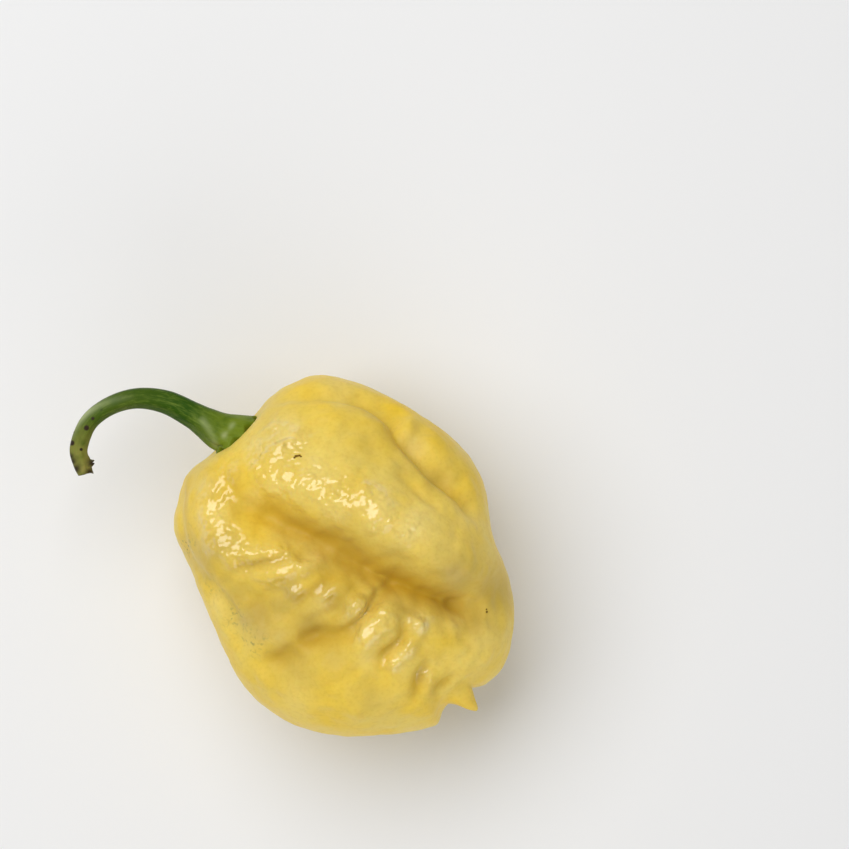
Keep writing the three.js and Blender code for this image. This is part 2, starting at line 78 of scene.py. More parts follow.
# Folds seen from above. Each point is (x, y, height of the fold, half width); a groove is negative.
FOLDS_ABOVE = [
    # The big roll from the calyx to the right-hand side
    [(-4.5, 16, 0.3, 4), (-0.5, 12.5, 1.2, 4.5), (4, 9.3, 2, 4.8), (8.6, 6.8, 2.5, 5), (12.8, 4.6, 2.8, 5),
     (17.6, 1.8, 2.8, 5), (22, -1.2, 2.5, 4.6), (26, -3.6, 1.4, 3.6), (28.5, -7, 0.2, 3)],
    # The hollow below the calyx and the broad valley under the roll
    [(-8, 13, 0, 2), (-8.4, 10.2, -0.7, 2), (-7.4, 8.2, -1.6, 2.4), (-4.4, 6.5, -3, 3),
     (0.4, 4.4, -3.9, 3.4), (5, 1.9, -4.4, 3.5), (9.6, -0.4, -4.5, 3.4), (14, -2.5, -4.5, 3.3),
     (18, -4.2, -4.2, 3.2), (21.8, -5.6, -3.7, 3), (25.2, -6.8, -2.5, 2.6), (28, -7.4, 0, 2.2)],
    # Its narrow bottom, deepest at the right end
    [(-6, 7.2, 0, 1.6), (-3.4, 6.2, -0.3, 1.6), (1, 4, -0.3, 1.6), (5.6, 1.6, -0.4, 1.6),
     (10.6, -1.4, -0.6, 1.5), (15.2, -3.6, -0.8, 1.4), (19, -5.4, -0.8, 1.4), (22, -6.4, -0.9, 1.6),
     (23.8, -7, -0.8, 1.6), (25.6, -7.8, 0, 1.2)],
    # The shallow dip below its right end
    [(20.5, -9.4, 0, 2.2), (24, -9.2, -0.8, 2.6), (27, -8.4, -1, 2.6), (30, -7.6, 0, 2.2)],
    # A faint crease on the roll
    [(14.6, 11.4, 0, 0.7), (15.8, 10.5, -0.35, 0.7), (17.9, 8.4, -0.4, 0.7), (19.3, 7.3, -0.25, 0.7),
     (20.6, 6.4, 0, 0.7)],
    # The dip that runs on from the valley's end to the right-hand edge
    [(23, -5.8, 0, 3), (26.5, -5.2, -1.1, 3.2), (29, -4.8, -1.2, 3.2), (32, -4.4, 0, 3)],
    # The sharp crease between the roll and the rear lobe
    [(-4, 21.6, 0, 0.9), (0.6, 22.2, -0.5, 1), (4, 22.6, -0.9, 1), (7.6, 22.5, -1.3, 1),
     (10.3, 21.9, -1.7, 1), (12.8, 20.4, -1.9, 1), (14.3, 18.8, -1.9, 1), (15.2, 16.9, -1.9, 1),
     (16.6, 15.2, -1.8, 1), (18.1, 13.5, -1.8, 1), (19.9, 11.5, -1.8, 1), (22.2, 9.6, -1.7, 1),
     (23.8, 8, -1.5, 1), (25.4, 5.9, -0.9, 0.9), (26.8, 4, 0, 0.9)],
    # The rear lobe's swelling, and the hollow beside the crease towards its right end
    [(9, 24, 0, 1.6), (13, 22.4, 0.3, 1.8), (17, 19, 0.7, 2), (20.4, 15.4, 0.8, 2), (23.6, 12, 0.6, 2),
     (26.4, 8.4, 0, 1.8)],
    [(20.4, 13, 0, 1.1), (21.8, 11.4, -0.5, 1.2), (23.4, 10, -0.3, 1.2), (24.8, 8.4, 0, 1.1)],
    # Pale bumps of the rear lobe
    [(14.6, 18.6, 0, 1.1), (15.8, 17.6, 0.9, 1.2), (17, 16.6, 0, 1.1)],
    [(17.2, 16, 0, 1.2), (18.6, 15.1, 0.9, 1.4), (20.6, 14, 0.5, 1.5), (22.4, 13, 0, 1.3)],
    [(23, 10.4, 0, 1.2), (24.2, 9, 0.6, 1.3), (25.4, 7.6, 0, 1.2)],
    # The little ridge at the roll's upper left
    [(-3.2, 14.4, 0, 0.8), (-1.6, 14.9, 0.45, 0.9), (0.2, 15.6, 0.5, 0.9), (1.8, 16.2, 0, 0.8)],
    # The left shoulder
    [(-7.4, 14.2, 0, 3), (-10, 11, 1, 3), (-11, 6, 1.3, 3.2), (-9.8, 1, 0.8, 3), (-7.6, -2, 0, 2.6)],
    # The crease that sets off the smooth strip along the left flank
    [(-15, 11, 0, 0.9), (-15.6, 8.2, -0.5, 0.9), (-15.6, 5, -0.6, 0.9), (-15.2, 1.3, -0.9, 1),
     (-13.9, -1.2, -1, 1.1), (-11.9, -3.2, -1, 1.1), (-10.4, -5.2, -1, 1.1), (-8.9, -7.3, -1, 1.1),
     (-8.1, -9.3, -1, 1.2), (-7.1, -11.5, -0.8, 1.3), (-5.4, -13.2, 0, 1.4)],
    # The basin of ribs, and the groove along its lower side
    [(-11, -1, 0, 4), (-5, -5, -1.2, 4.6), (1, -8, -1.9, 4.8), (6, -8.4, -1.5, 4), (9.6, -7.6, 0, 3)],
    [(-6, -13.4, 0, 1.8), (-3.4, -14.2, -0.7, 2.2), (-0.4, -13.8, -1.1, 2.6), (2.6, -12.4, -1.1, 2.6),
     (5.2, -11.8, -1, 2), (7.2, -10.8, -1.1, 1.4), (9, -9.2, -1.2, 1), (10.8, -7.2, -1.4, 0.9),
     (12.4, -5.2, -1.3, 0.9), (15, -3.7, 0, 0.9)],
    [(-4.4, -14.6, 0, 1.2), (-2.2, -14.6, -0.6, 1.4), (-0.4, -14, -0.6, 1.5), (1.2, -12.8, 0, 1.3)],
    [(0.6, -12, 0, 1.4), (2.4, -11.6, -0.9, 1.7), (4.6, -11.2, -1, 1.8), (7.2, -11, 0, 1.4)],
    # Ribs that fan out of the valley, from the left, each with the groove below it
    [(-8.5, -0.2, 0, 1), (-5, 0.2, 0.6, 1.2), (-1.3, 0.9, 1.1, 1.3), (1.1, 1.8, 0.6, 1.2), (3, 2.6, 0, 1)],
    [(-10, -2, 0, 1), (-7, -1.2, -0.4, 1.1), (-4.2, -0.5, -0.8, 1.1), (-1.4, 0.3, -0.8, 1.1),
     (1.4, 1, -0.3, 1), (3, 1.4, 0, 0.9)],
    [(-7.4, -3.2, 0, 1.4), (-4.2, -2.9, 0.9, 1.8), (-0.8, -2.3, 1.2, 1.9), (1.8, -1.2, 1.3, 1.9),
     (4.2, -0.2, 1.2, 1.9), (6.6, 0, 0.6, 1.8), (8.8, -0.4, 0, 1.6)],
    [(-5, -4.8, 0, 1.2), (-1.2, -4.2, -0.3, 1.2), (1.8, -2.9, -0.4, 1.2), (3.8, -1.9, -0.3, 1.1),
     (5.4, -1, 0, 1)],
    [(-2.6, -6.9, 0, 1.2), (-1, -5.9, 0.5, 1.3), (0.8, -4.8, 0.9, 1.4), (2.3, -3.7, 0.8, 1.4),
     (4.6, -2.4, 0, 1.2)],
    [(0, -7.6, 0, 1.1), (0.9, -6.6, -0.2, 1.1), (2.8, -4.9, -0.3, 1.1), (5.1, -3.2, -0.3, 1.1),
     (6.8, -1.9, 0, 1)],
    [(1.6, -8.4, 0, 1.1), (2.7, -7.2, 0.5, 1.3), (4, -5.9, 0.8, 1.4), (6.2, -4.1, 0.8, 1.4),
     (8.4, -2.6, 0, 1.2)],
    [(5.2, -9, 0, 1.1), (6, -7.8, -0.2, 1.1), (7.4, -5.9, -0.3, 1.1), (9, -4.2, -0.3, 1.1),
     (10.4, -3, 0, 1)],
    [(7, -9.4, 0, 0.9), (7.9, -8.2, 0.5, 1), (9, -6.6, 0.7, 1.1), (10.3, -5.2, 0.5, 1.1),
     (11.8, -3.9, 0, 1)],
    # The big fold beyond the groove, and the smaller one beside it
    [(8, -14, 0, 1.7), (9.9, -11.8, 1, 2), (12.9, -8.5, 1.5, 2.2), (14.2, -7, 1.3, 2),
     (15.8, -5.9, 0, 1.6)],
    [(15.7, -8.4, 0, 0.8), (15.6, -10, -0.9, 0.8), (15.3, -11.2, -0.9, 0.8), (14.2, -12.2, -0.9, 0.8),
     (13, -13.2, -0.8, 0.8), (12.7, -14.8, -0.4, 0.8), (12.7, -16, 0, 0.7)],
    [(18.2, -7.4, 0, 1.2), (17.9, -8.8, 0.8, 1.3), (16.9, -11, 0.5, 1.3), (15.9, -12.8, 0.7, 1.2),
     (14.2, -14.4, 0.7, 1), (13.7, -15.8, 0.5, 1), (13.4, -17, 0, 1)],
    # Small arcs above the tail, one with a bump beside it
    [(19.2, -13.8, 0, 0.8), (18.8, -14.7, -0.8, 0.8), (17.9, -16.3, -1.1, 0.8), (17.4, -18.1, -0.9, 0.9),
     (17, -19.9, 0, 0.9)],
    [(20, -15.2, 0, 1), (19.4, -16.4, 0.5, 1.1), (19, -18, 0.4, 1.1), (18.6, -19.4, 0, 1)],
    [(23, -16.2, 0, 0.8), (22, -16.9, -0.6, 0.8), (20.9, -17.8, -0.9, 0.8), (20.2, -19, -0.5, 0.8),
     (19.8, -20, 0, 0.8)],
    # The lower lobe
    [(-2, -19, 0, 4), (4, -18.6, 0.8, 5), (10, -19, 0.9, 5), (16, -20, 0, 3)],
]

# Folds of the underside, also seen from above
FOLDS_BELOW = [
    [(-4, 16, 0, 2.4), (5, 12.6, -1.4, 2.6), (13.6, 6.4, -2, 3), (20.6, -2.4, -1.8, 3),
     (23.4, -12, 0, 2.4)],
    [(-9, 11.4, 0, 2.2), (-7.4, 3.6, -1.4, 2.6), (-2.4, -5.4, -2, 3), (6, -14, -1.6, 2.8),
     (16.4, -18.4, 0, 2.4)],
    [(18, 13, 0, 1.4), (19.4, 7, -0.7, 1.4), (24, 3, 0, 1.2)],
    [(-10, -5, 0, 1.4), (-8, -11, -0.8, 1.6), (-1, -17, 0, 1.4)],
    [(-6, -4, 0, 1.2), (-10, -1.6, -0.5, 1.3), (-14, -2, 0, 1.2)],
    [(6, 16, 0, 1.4), (10, 17.6, -0.6, 1.4), (14, 19, 0, 1.4)],
]
# Steps between the points of a fold, and the rise of direction over which each side's folds fade in
FOLD_STEPS = 5
ABOVE_FADE, BELOW_FADE = (-0.15, 0.25), (-0.05, 0.35)

# The hollow that the calyx sits in, and the tail, which grows out of a small hollow of its own
CALYX_HOLLOW_DEPTH, CALYX_HOLLOW_RADIUS = 2.1, 5.2
TAIL_HOLLOW_DEPTH, TAIL_HOLLOW_RADIUS = 0.5, 3.4
# The tail's root, its taper, how far it is drawn out, and its hook
TAIL_ROOT_RADIUS = 3.1
TAIL_TAPER = 1.5
TAIL_REACH = np.array([3.0, -1.5, 0.4])
TAIL_HOOK = np.array([0.1, -1.0, -0.2])

# The calyx: the rim's radius, the height over which it narrows, and its distance from the pod's centre
CALYX_RADIUS = 3.2
CALYX_HEIGHT = 4.6
CALYX_DISTANCE = 22.6
# The rim's lobes: how many, the turn of the first, how far they reach out and how far they dip to the skin
CALYX_LOBES, CALYX_LOBE_TURN, CALYX_WAVINESS = 8, 1.77, 0.07
CALYX_SCALLOP = 0.36

# The stalk's centre line from the calyx to the torn end: (x, y, z, radius)
STALK = [
    (-9.9, 17.4, 19.6, 2.75),
    (-12.1, 18.6, 19.4, 2.2),
    (-13.9, 19.65, 19.4, 1.87),
    (-17.6, 21.45, 19.8, 1.65),
    (-21.6, 21.95, 20.5, 1.43),
    (-25.3, 20.9, 20.9, 1.3),
    (-28.3, 18.6, 20.8, 1.26),
    (-29.75, 15.2, 20.1, 1.26),
    (-29.5, 13.0, 19.4, 1.16),
    (-29.0, 11.55, 18.9, 1.02),
]
# How far the stalk's ribs stand out, as a share of its radius, how many they are, and the torn end's middle
STALK_RIB, STALK_RIBS = 0.035, 5
TORN_END = np.array([0.05, 0.15, 0.0])


def ease(low, high, value):
    """0 below low, 1 above high, and 3t^2 - 2t^3 between."""
    t = np.clip((value - low) / (high - low), 0, 1)
    return t * t * (3 - 2 * t)


def unit(vectors):
    """Vectors scaled to length 1."""
    return vectors / np.maximum(np.linalg.norm(vectors, axis=-1, keepdims=True), 1e-9)


def ring_round(axis, turn):
    """Unit vectors square to an axis, turned round it from its level side."""
    across = unit(np.array([-axis[1], axis[0], 0.0]))
    return np.cos(turn)[..., None] * across + np.sin(turn)[..., None] * np.cross(axis, across)


def through_points(points, steps):
    """A smooth curve through points of any number of coordinates: a cubic between each two, whose slope at a
    point is half the step from the point before it to the one after."""
    known = np.array(points, float)
    before = np.vstack([known[:1], known[:-2]])
    after = np.vstack([known[2:], known[-1:]])
    start, end = known[:-1], known[1:]
    t = (np.arange(steps) / steps)[:, None, None]
    curve = 0.5 * (
        2 * start
        + (end - before) * t
        + (2 * before - 5 * start + 4 * end - after) * t**2
        + (3 * start - before - 3 * end + after) * t**3
    )
    return np.vstack([curve.transpose(1, 0, 2).reshape(-1, known.shape[1]), known[-1:]])


def outline_radius(degrees):
    """The outline's distance in each direction: a cubic between the outline's points, with the slope at each
    taken from its two neighbours, and the list repeated a turn either way."""
    table = np.array(OUTLINE, float)
    laps = np.vstack([table + [360 * lap, 0] for lap in (-2, -1, 0, 1, 2)])
    angle, radius = laps.T
    slope = np.gradient(radius) / np.gradient(angle)
    i = np.clip(np.searchsorted(angle, degrees, side="right") - 1, 1, len(angle) - 3)
    span = angle[i + 1] - angle[i]
    t = (degrees - angle[i]) / span
    return (
        radius[i] * (2 * t**3 - 3 * t**2 + 1)
        + slope[i] * span * (t**3 - 2 * t**2 + t)
        + radius[i + 1] * (3 * t**2 - 2 * t**3)
        + slope[i + 1] * span * (t**3 - t**2)
    )


def even_radius(degrees):
    """The mean of the outline's distance over a stretch either side, which evens its corners out."""
    offsets = np.linspace(-OUTLINE_EASE, OUTLINE_EASE, OUTLINE_SAMPLES)
    return np.mean([outline_radius(degrees + offset) for offset in offsets], axis=0)


def fold_height(folds, x, y):
    """Sum of the folds at places seen from above: each is a bell exp(-(distance / width)^2) across its curve,
    with the height and width of the nearest point along it."""
    total = np.zeros_like(x)
    for fold in folds:
        curve = through_points(fold, FOLD_STEPS)
        start, step = curve[:-1], np.diff(curve, axis=0)
        best = np.full_like(x, np.inf)
        bell = np.zeros_like(x)
        for (px, py, height, width), (dx, dy, rise, spread) in zip(start, step):
            t = np.clip(((x - px) * dx + (y - py) * dy) / (dx * dx + dy * dy), 0, 1)
            distance = np.hypot(x - px - dx * t, y - py - dy * t)
            here = (height + rise * t) * np.exp(-((distance / (width + spread * t)) ** 2))
            bell = np.where(distance < best, here, bell)
            best = np.minimum(best, distance)
        total += bell
    return total


def skin_points(direction):
    """The pod's skin in directions from its centre, in millimetres. A plump pillow inside the outline,
    (level / outline)^n + (height / tallest)^n = 1, then the folds along its normal, the hollows of the calyx
    and the tail, the tail drawn out of its end, and the flat that the pod lies on."""
    x, y, z = np.moveaxis(direction, -1, 0)
    turn = np.degrees(np.arctan2(y, x))
    level = np.hypot(x, y)
    near_rim = np.exp(-((z / OUTLINE_REACH) ** 2))
    wide = even_radius(turn) * (1 - near_rim) + outline_radius(turn) * near_rim
    tall = np.where(z > 0, HEIGHT_ABOVE, DEPTH_BELOW)
    radius = ((level / wide) ** FULLNESS + (np.abs(z) / tall) ** FULLNESS) ** (-1 / FULLNESS)
    point = direction * radius[..., None]

    slope = (level * radius) ** (FULLNESS - 1) / wide**FULLNESS / np.maximum(level, 1e-9)
    rise = np.sign(z) * (np.abs(z) * radius) ** (FULLNESS - 1) / tall**FULLNESS
    normal = unit(np.stack([slope * x, slope * y, rise], -1))
    place_x, place_y = POD_CENTRE[0] + point[..., 0], POD_CENTRE[1] + point[..., 1]
    height = ease(*ABOVE_FADE, z) * fold_height(FOLDS_ABOVE, place_x, place_y)
    height += ease(*BELOW_FADE, -z) * fold_height(FOLDS_BELOW, place_x, place_y)
    point = point + normal * height[..., None]

    from_calyx = np.arccos(np.clip(direction @ TO_CALYX, -1, 1)) * radius
    from_tail = np.arccos(np.clip(direction @ TO_TAIL, -1, 1)) * radius
    point -= (CALYX_HOLLOW_DEPTH * np.exp(-((from_calyx / CALYX_HOLLOW_RADIUS) ** 2)))[..., None] * TO_CALYX
    point -= (TAIL_HOLLOW_DEPTH * np.exp(-((from_tail / TAIL_HOLLOW_RADIUS) ** 2)))[..., None] * TO_TAIL
    pull = (1 - ease(0, TAIL_ROOT_RADIUS, from_tail)) ** TAIL_TAPER
    point += pull[..., None] * TAIL_REACH + (pull**2)[..., None] * TAIL_HOOK

    point += POD_CENTRE
    return rest_on_flat(point)


def rest_on_flat(point):
    """Points kept above the surface: level with it where they would lie under it, with a short round lead-in,
    (height + blend)^2 / (4 blend)."""
    z = point[..., 2]
    near = (np.clip(z, -FLAT_BLEND, FLAT_BLEND) + FLAT_BLEND) ** 2 / (4 * FLAT_BLEND)
    point[..., 2] = np.where(z < FLAT_BLEND, near, z)
    return point


# How far the wavelengths of an even field of bumps lie below and above the one given
WAVELENGTH_SPREAD = (0.7, 1.45)


def ripples(point, wavelength, count, seed):
    """An even field of bumps, of height about 1: a sum of plane waves in random directions, whose wavelengths
    lie around the one given."""
    draw = np.random.default_rng(seed)
    heading = unit(draw.normal(size=(count, 3)))
    number = 2 * math.pi / (wavelength * draw.uniform(*WAVELENGTH_SPREAD, count))
    phase = draw.uniform(0, 2 * math.pi, count)
    total = np.zeros(point.shape[:-1])
    for h, k, p in zip(heading, number, phase):
        total += np.cos((point @ h) * k + p)
    return total * math.sqrt(2 / count)


def grid_normals(grid):
    """Normals of a grid of points that closes on itself along its second axis, from the steps between
    neighbours."""
    along = np.gradient(grid, axis=0)
    around = np.roll(grid, -1, axis=1) - np.roll(grid, 1, axis=1)
    return unit(np.cross(along, around))


def closed_mesh(name, first, grid, last, attributes):
    """A mesh over rings of points, capped by a point at each end and scaled from millimetres. Each attribute
    is one value for each vertex, given as (first, grid, last)."""
    rings, sides = grid.shape[:2]
    vertices = np.vstack([first[None], grid.reshape(-1, 3), last[None]]) * MM
    number = 1 + np.arange(rings * sides).reshape(rings, sides)
    beside = np.roll(number, -1, axis=1)
    quads = np.stack([number[:-1], number[1:], beside[1:], beside[:-1]], -1).reshape(-1, 4)
    cap_first = np.stack([np.zeros(sides, int), number[0], beside[0]], -1)
    cap_last = np.stack([np.full(sides, len(vertices) - 1), beside[-1], number[-1]], -1)
    mesh = bpy.data.meshes.new(name)
    mesh.from_pydata(vertices.tolist(), [], cap_first.tolist() + quads.tolist() + cap_last.tolist())
    mesh.polygons.foreach_set("use_smooth", np.ones(len(mesh.polygons), bool))
    for key, values in attributes.items():
        layer = mesh.attributes.new(key, "FLOAT", "POINT")
        layer.data.foreach_set("value", np.concatenate([np.ravel(v) for v in values]).astype(np.float32))
    mesh.update()
    piece = bpy.data.objects.new(name, mesh)
    bpy.context.scene.collection.objects.link(piece)
    return piece


def plain_material(name, colour, roughness):
    """A material of one colour and finish all over, and its shader."""
    material = bpy.data.materials.new(name)
    material.use_nodes = True
    shader = material.node_tree.nodes["Principled BSDF"]
    shader.inputs["Base Color"].default_value = (*colour, 1)
    shader.inputs["Roughness"].default_value = roughness
    return material, shader


def node(tree, kind, **inputs):
    """A new node of a material, with its inputs set: each is a value, or an output to link from."""
    made = tree.nodes.new(kind)
    for key, value in inputs.items():
        socket = made.inputs[key.replace("_", " ")]
        if isinstance(value, bpy.types.NodeSocket):
            tree.links.new(value, socket)
        else:
            socket.default_value = value
    return made


def mixed(tree, share, first, second):
    """The colour first where share is 0 and second where it is 1."""
    mix = node(tree, "ShaderNodeMix")
    mix.data_type = "RGBA"
    for socket, value in ((mix.inputs[0], share), (mix.inputs[6], first), (mix.inputs[7], second)):
        if isinstance(value, bpy.types.NodeSocket):
            tree.links.new(value, socket)
        else:
            socket.default_value = (*value, 1) if isinstance(value, tuple) else value
    return mix.outputs[2]


def noise(tree, size, detail=2.0):
    """Soft random mottling, with spots of the size given in millimetres."""
    place = node(tree, "ShaderNodeTexCoord").outputs["Object"]
    return node(tree, "ShaderNodeTexNoise", Vector=place, Scale=1 / (size * MM), Detail=detail).outputs["Fac"]


def scaled(tree, value, low, high, least=0.0, most=1.0):
    """'least' where the value is below low, rising to 'most' where it is above high."""
    ramp = node(tree, "ShaderNodeMapRange", Value=value, From_Min=low, From_Max=high, To_Min=least,
                To_Max=most)
    return ramp.outputs["Result"]


def scattered(tree, size, detail, start, full, strength):
    """Marks scattered by noise: 0 where it is below start, rising to their strength above full."""
    return scaled(tree, noise(tree, size, detail), start, full, 0.0, strength)


def combined(tree, operation, first, second):
    """Two values put together, as by MULTIPLY or MAXIMUM."""
    result = node(tree, "ShaderNodeMath")
    result.operation = operation
    tree.links.new(first, result.inputs[0])
    tree.links.new(second, result.inputs[1])
    return result.outputs[0]


def attribute(tree, name):
    """A value kept on the piece's own vertices."""
    read = node(tree, "ShaderNodeAttribute")
    read.attribute_name = name
    return read.outputs["Fac"]


# The pod's mesh: its rows and columns, and how they crowd together on top and towards the tail
POD_ROWS, POD_COLUMNS = 262, 376
POD_CROWD_TOP = 0.2
POD_CROWD_TAIL, POD_CROWD_ANGLE = 0.7, math.radians(24)
# Bumps of the skin: (wavelength, height), the waves that make up each, how high above the floor they are
# full, their share left where the skin is steep, and how level it is where they are full again
SKIN_BUMPS = [(9, 0.14), (4.6, 0.09), (2.3, 0.065)]
BUMP_WAVES = 90
BUMP_LEAD_IN = 1.5
STEEP_BUMPS, BUMPS_FULL = 0.3, (0.2, 0.8)


def pod_directions(rows, columns):
    """Directions from the pod's centre on a grid of rows from the tail to the point opposite it, under the
    calyx, and columns round the line between them, drawn closer together on top and towards the tail."""
    angle = np.linspace(0, math.pi, rows + 2)[1:-1]
    drawn = angle * (1 - POD_CROWD_TAIL * np.exp(-((angle / POD_CROWD_ANGLE) ** 2)))
    turn = np.arange(columns) / columns * 2 * math.pi
    drawn, turn = np.meshgrid(drawn, turn, indexing="ij")
    ring = ring_round(TO_TAIL, turn)
    direction = np.cos(drawn)[..., None] * TO_TAIL + np.sin(drawn)[..., None] * ring
    lifted = direction + UP * POD_CROWD_TOP * np.sin(drawn)[..., None] ** 2
    return unit(lifted)


# The skin's colours
PALE_YELLOW = (0.85, 0.64, 0.132)
DEEP_YELLOW = (0.85, 0.56, 0.026)
# Used both for random freckles and for the painted shade of the folds and bands
FRECKLE_AND_SHADE_OCHRE = (0.48, 0.275, 0.012)
# Painted shade: the duller colour of patches where the skin lies in shade
PAINTED_SHADE_OCHRE = (0.56, 0.40, 0.08)
PALE_GREY = (0.62, 0.47, 0.15)
# Painted light: the pale colour of patches where the skin catches the light
PAINTED_LIGHT_CREAM = (0.94, 0.74, 0.22)
FLECK_GREEN = (0.30, 0.26, 0.08)
SPECK_BROWN = (0.12, 0.05, 0.003)
# Marks scattered by noise: (size in mm, detail, noise where they start, where they are full, strength)
MOTTLING = (6.0, 2.0, 0.35, 0.7, 0.6)
FRECKLES = (0.55, 2.0, 0.45, 0.75, 0.16)
FLECKS = (0.6, 4.0, 0.55, 0.72, 1.0)
# The dimples in the wax: size, detail and depth, in millimetres, and how dimpled the skin is where the wax
# starts and where it is full
DIMPLE_SIZE, DIMPLE_DETAIL, DIMPLE_DEPTH = 1.4, 1.0, 0.85
WAXED = (0.12, 0.45)
# The skin's own soft shine and down, the clear wax over it, and how light spreads in the flesh under it
SKIN_ROUGHNESS, SKIN_SHINE = 0.42, 0.08
DOWN_WEIGHT, DOWN_ROUGHNESS, DOWN_TINT = 0.15, 0.4, (1.0, 0.85, 0.5, 1.0)
WAX_IOR, WAX_ROUGHNESS, LEAST_WAX = 1.7, 0.05, 0.04
FLESH_WEIGHT, FLESH_SPREAD = 0.2, (1.0, 0.55, 0.15)

# Patches of the skin's colours, seen from above: (x, y, radius, strength)
RIPE_PATCHES = [
    (-6.5, 7.5, 5, 0.8), (-11, 4, 4, 0.6), (-9, -2, 4, 0.5), (4, -18, 8, 0.4), (1, 24, 4, 0.5),
    (8, 24.5, 4.5, 0.3), (15, 21.5, 4, 0.8), (21, 17.5, 3.5, 0.9), (26, 11, 3.5, 0.7),
]
# Patches of painted shade, where the skin lies in shade
PAINTED_SHADE_PATCHES = [
    (-11.4, -2.4, 2, 0.6), (-7.4, -5.4, 2.8, 0.75), (-8.7, -3, 1.8, 0.6), (-4.4, -7.6, 3, 0.9),
    (1, -15, 4, 0.6), (3, -9, 3.5, 0.9), (6, -13.4, 3, 0.5), (6, -6, 4, 0.7), (28, -5, 4, 0.8),
    (26, -8.5, 3.5, 0.7), (21, -3.5, 4, 0.6), (19, 9.6, 1.6, 0.5), (20.5, 0.5, 3.5, 0.5),
    (14.5, 0, 3.5, 0.6), (8, 0, 5, 0.6), (16, -11, 4, 0.3), (-13.6, 1.4, 2.4, 0.5), (-12, 10.5, 2, 0.4),
    (-1.5, -6.5, 2.6, 0.8), (0.2, -4.7, 2, 0.8), (-9.5, 1.7, 2.6, 0.5), (-7.1, 7.1, 1.8, 0.4),
    (15.4, 11.8, 1.8, 0.5), (16.8, -7.4, 2, 0.9), (11.6, -19.3, 2.5, 0.4), (25.4, -20.4, 2.6, 0.3),
    (23, -2, 3.6, 1), (-2, 18.5, 3.5, 0.35), (11, 16, 3.5, 0.3), (-11.5, 0, 3, 0.7), (21.4, 11, 1.8, 0.5),
]
GREY_PATCHES = [
    (-6, -8.6, 1.5, 0.7), (-4, -10.4, 1.7, 0.7), (-1.4, -10.8, 1.5, 0.6), (22.4, -2.6, 1.8, 0.5),
    (17, 15.6, 1.8, 0.5),
]
# Patches of painted light, with painted highlights on the folds
PAINTED_LIGHT_PATCHES = [
    (13, 7.4, 3, 0.6), (17.6, 4.8, 3.6, 0.7), (22, 2.6, 3, 0.3), (24.6, 5.4, 2.6, 0.3),
    (22.4, -8.8, 1.6, 0.5), (10.4, -8.4, 2.4, 0.5), (3.4, 0.4, 1.6, 0.5), (4.5, -6.4, 1.5, 0.5),
    (-0.2, 17.2, 2.2, 0.6), (-4.8, 8.4, 1.8, 0.5), (4, 12.4, 2.6, 0.4), (-1.7, 9.5, 1.8, 0.5),
    (6.6, 6.4, 1.8, 0.4), (17.8, -8.6, 1.3, 0.7), (11, -13.6, 1.4, 0.5), (15, -13.4, 1.4, 0.5),
    (-10.2, -6.6, 1.8, 0.5), (0.5, -19.5, 3, 0.4), (6.9, 23.2, 2.2, 0.5), (-10.4, 6, 2, 0.5),
    (-11.8, 9.8, 1.8, 0.4), (26.6, -11.5, 2.2, 0.5),
]
FLECK_PATCHES = [
    (-14.4, 1.4, 1.6, 0.9), (-10.5, -4, 2, 0.4), (-7.4, -8.2, 1.8, 0.8), (-5, -11.6, 2, 0.7),
    (-14, 5, 1.5, 0.3),
]
# The large patches in the order they are laid on: (name, places, colour)
SKIN_PAINT = [
    ("ripeness", RIPE_PATCHES, DEEP_YELLOW),
    # Painted shade
    ("painted_shade", PAINTED_SHADE_PATCHES, PAINTED_SHADE_OCHRE),
    ("greyness", GREY_PATCHES, PALE_GREY),
    # Painted light
    ("painted_light", PAINTED_LIGHT_PATCHES, PAINTED_LIGHT_CREAM),
]
# Heights from the pod's middle over which the patches, and the painted shade of the folds, fade in
PATCH_FADE = (-11, -3)
SHADE_FADE = (-2, 6)
# How strongly painted shade darkens the folds where they are deep enough, and along the bands
SHADE_DEPTHS = (0.6, 6.5)
SHADE_OF_DEPTHS, SHADE_OF_BANDS = 0.45, 0.5
